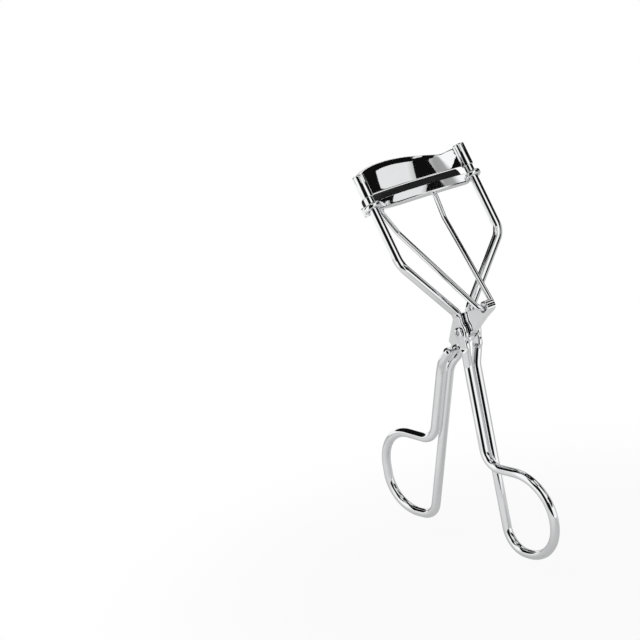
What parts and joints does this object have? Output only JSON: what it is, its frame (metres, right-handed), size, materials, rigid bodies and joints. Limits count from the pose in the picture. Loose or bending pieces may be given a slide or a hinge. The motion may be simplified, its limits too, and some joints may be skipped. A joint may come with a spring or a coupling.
{
  "type": "eyelash curler",
  "caption": "Hand-held eyelash curler of bent chromed wire: curved jaws with a soft pad, one sliding on the frame's rods, worked by scissor-like finger loops.",
  "frame": {"origin": "centre of the frame handle's finger loop, where a finger holds the curler up", "axes": "+Z from the finger loops up to the jaws, +X along the pivot rivet, +Y from the frame handle towards the lever handle"},
  "size_m": [0.0392, 0.0637, 0.1027],
  "materials": {
    "chrome": "polished nickel-chrome plate on steel wire and sheet",
    "black_rubber": "matt black silicone rubber"
  },
  "bodies": {
    "frame": {"frame_wire": "chrome", "upper_jaw": "chrome", "pivot_rivet": "chrome"},
    "lever": {"lever_bracket": "chrome", "lever_handle": "chrome"},
    "sliding_jaw": {"lower_jaw": "chrome", "lash_pad": "black_rubber", "push_wire": "chrome"}
  },
  "joints": [
    {"name": "lever_pivot", "type": "hinge", "parent": "frame", "child": "lever", "pos_m": [0, 0.01265, 0.047], "axis": [1, 0, 0], "range_deg": [-0.8, 34]},
    {"name": "jaw_slide", "type": "slide", "parent": "frame", "child": "sliding_jaw", "axis": [0, -0.4924, -0.8704], "range_m": [-0.00016, 0.0063]}
  ],
  "couplings": [
    {"joint": "jaw_slide", "follows": "lever_pivot", "m_per_rad": 0.01045}
  ]
}
